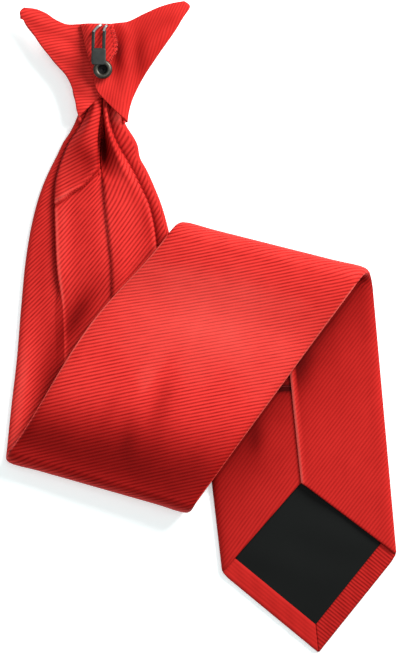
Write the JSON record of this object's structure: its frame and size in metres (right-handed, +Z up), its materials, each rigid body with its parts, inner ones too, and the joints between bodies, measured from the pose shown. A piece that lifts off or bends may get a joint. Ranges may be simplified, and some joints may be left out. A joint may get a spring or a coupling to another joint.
{
  "type": "clip on necktie, folded",
  "caption": "Red ribbed clip-on necktie lying back up, its blade folded over twice, with winged knot, spring clip and lined pointed tip.",
  "frame": {"origin": "on the table under the middle of the tie's box", "axes": "+X to the right in the picture, +Y from the pointed tip to the knot, +Z up off the table; the back of the knot and the lining face +Z"},
  "size_m": [0.1802, 0.2986, 0.0185],
  "materials": {
    "blade_cloth": "ribbed satin",
    "knot_cloth": "ribbed satin",
    "wing_cloth": "ribbed satin",
    "tab_cloth": "ribbed satin",
    "hem_cloth": "ribbed satin",
    "tip_lining": "smooth satin",
    "clip_metal": "blackened steel, bright at the bends",
    "eyelet_metal": "blackened steel"
  },
  "bodies": {
    "root": {"blade": "blade_cloth", "tip_lining": "tip_lining", "tip_hem": "hem_cloth", "knot_cover": "knot_cloth", "left_wing": "wing_cloth", "right_wing": "wing_cloth", "clip_tab": "tab_cloth", "clip_eyelet": "eyelet_metal", "spring_clip": "clip_metal"}
  },
  "joints": []
}
